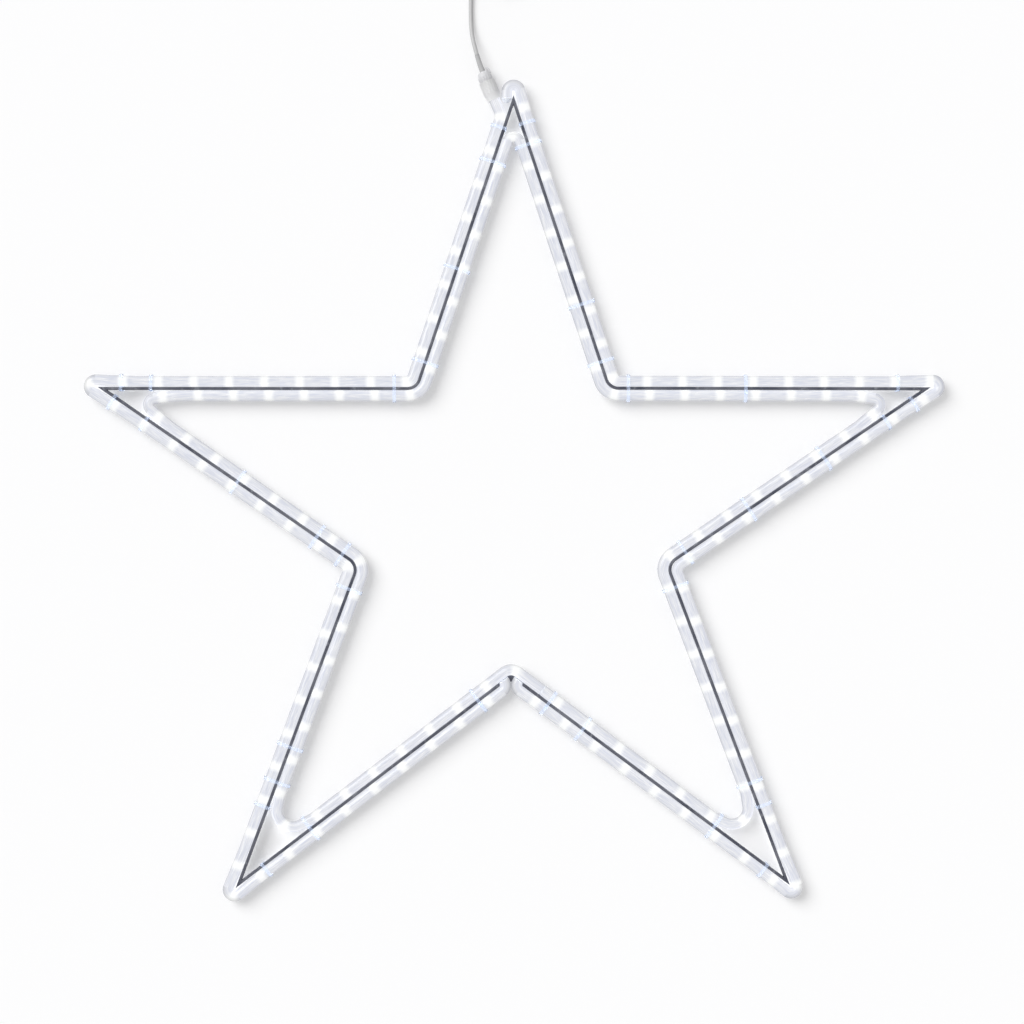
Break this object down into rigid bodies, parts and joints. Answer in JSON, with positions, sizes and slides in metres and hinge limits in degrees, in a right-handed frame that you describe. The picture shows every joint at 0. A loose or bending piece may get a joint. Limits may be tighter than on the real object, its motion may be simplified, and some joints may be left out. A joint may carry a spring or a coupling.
{
  "type": "led christmas star",
  "caption": "Large flat five-pointed star: a bent dark steel strip with clear LED rope light tied along both its sides, and a power connector at the top point.",
  "frame": {"origin": "on the surface that the star lies on, under the middle of the bounding box of the star and its connector", "axes": "+X to the star's right, +Y to its top point, +Z out of its lit face"},
  "size_m": [1.0164, 1.1693, 0.0236],
  "materials": {
    "steel": "dark satin powder coat",
    "rope": "clear soft PVC",
    "lamps": "cool white lamps on thin wires",
    "plugs": "clear PVC",
    "connector": "frosted grey PVC",
    "ring": "grey PVC",
    "seal": "matt grey",
    "cable": "light grey PVC",
    "contacts": "polished",
    "ties": "clear nylon"
  },
  "bodies": {
    "star": {"frame_strip": "steel", "frame_joiner": "steel", "rope_outer_left": "rope", "rope_outer_right": "rope", "rope_inner": "rope", "lamp_string_outer_left": "lamps", "lamp_string_outer_right": "lamps", "lamp_string_inner": "lamps", "end_plug_left": "plugs", "end_plug_right": "plugs", "end_plug_top": "plugs", "inner_splice": "plugs", "connector_body": "connector", "cable_gland": "seal", "connector_contacts": "contacts", "power_cable": "cable", "cable_coil": "cable", "coil_tie": "ties", "mains_plug": "ring", "mains_pin_left": "contacts", "mains_pin_right": "contacts", "cable_tie_01": "ties", "cable_tie_02": "ties", "cable_tie_03": "ties", "cable_tie_04": "ties", "cable_tie_05": "ties", "cable_tie_06": "ties", "cable_tie_07": "ties", "cable_tie_08": "ties", "cable_tie_09": "ties", "cable_tie_10": "ties", "cable_tie_11": "ties", "cable_tie_12": "ties", "cable_tie_13": "ties", "cable_tie_14": "ties", "cable_tie_15": "ties", "cable_tie_16": "ties", "cable_tie_17": "ties", "cable_tie_18": "ties", "cable_tie_19": "ties", "cable_tie_20": "ties", "cable_tie_21": "ties", "cable_tie_22": "ties", "cable_tie_23": "ties", "cable_tie_24": "ties", "cable_tie_25": "ties", "cable_tie_26": "ties", "cable_tie_27": "ties", "cable_tie_28": "ties", "cable_tie_29": "ties", "cable_tie_30": "ties", "cable_tie_31": "ties", "cable_tie_32": "ties", "cable_tie_33": "ties", "cable_tie_34": "ties", "cable_tie_35": "ties", "cable_tie_36": "ties", "cable_tie_37": "ties", "cable_tie_38": "ties"},
    "ring": {"locking_ring": "ring"}
  },
  "joints": [
    {"name": "locking_ring_turn", "type": "hinge", "parent": "star", "child": "ring", "pos_m": [-0.03263, 0.47732, 0.0118], "axis": [-0.3827, 0.9239, 0], "range_deg": [0, 90]}
  ]
}
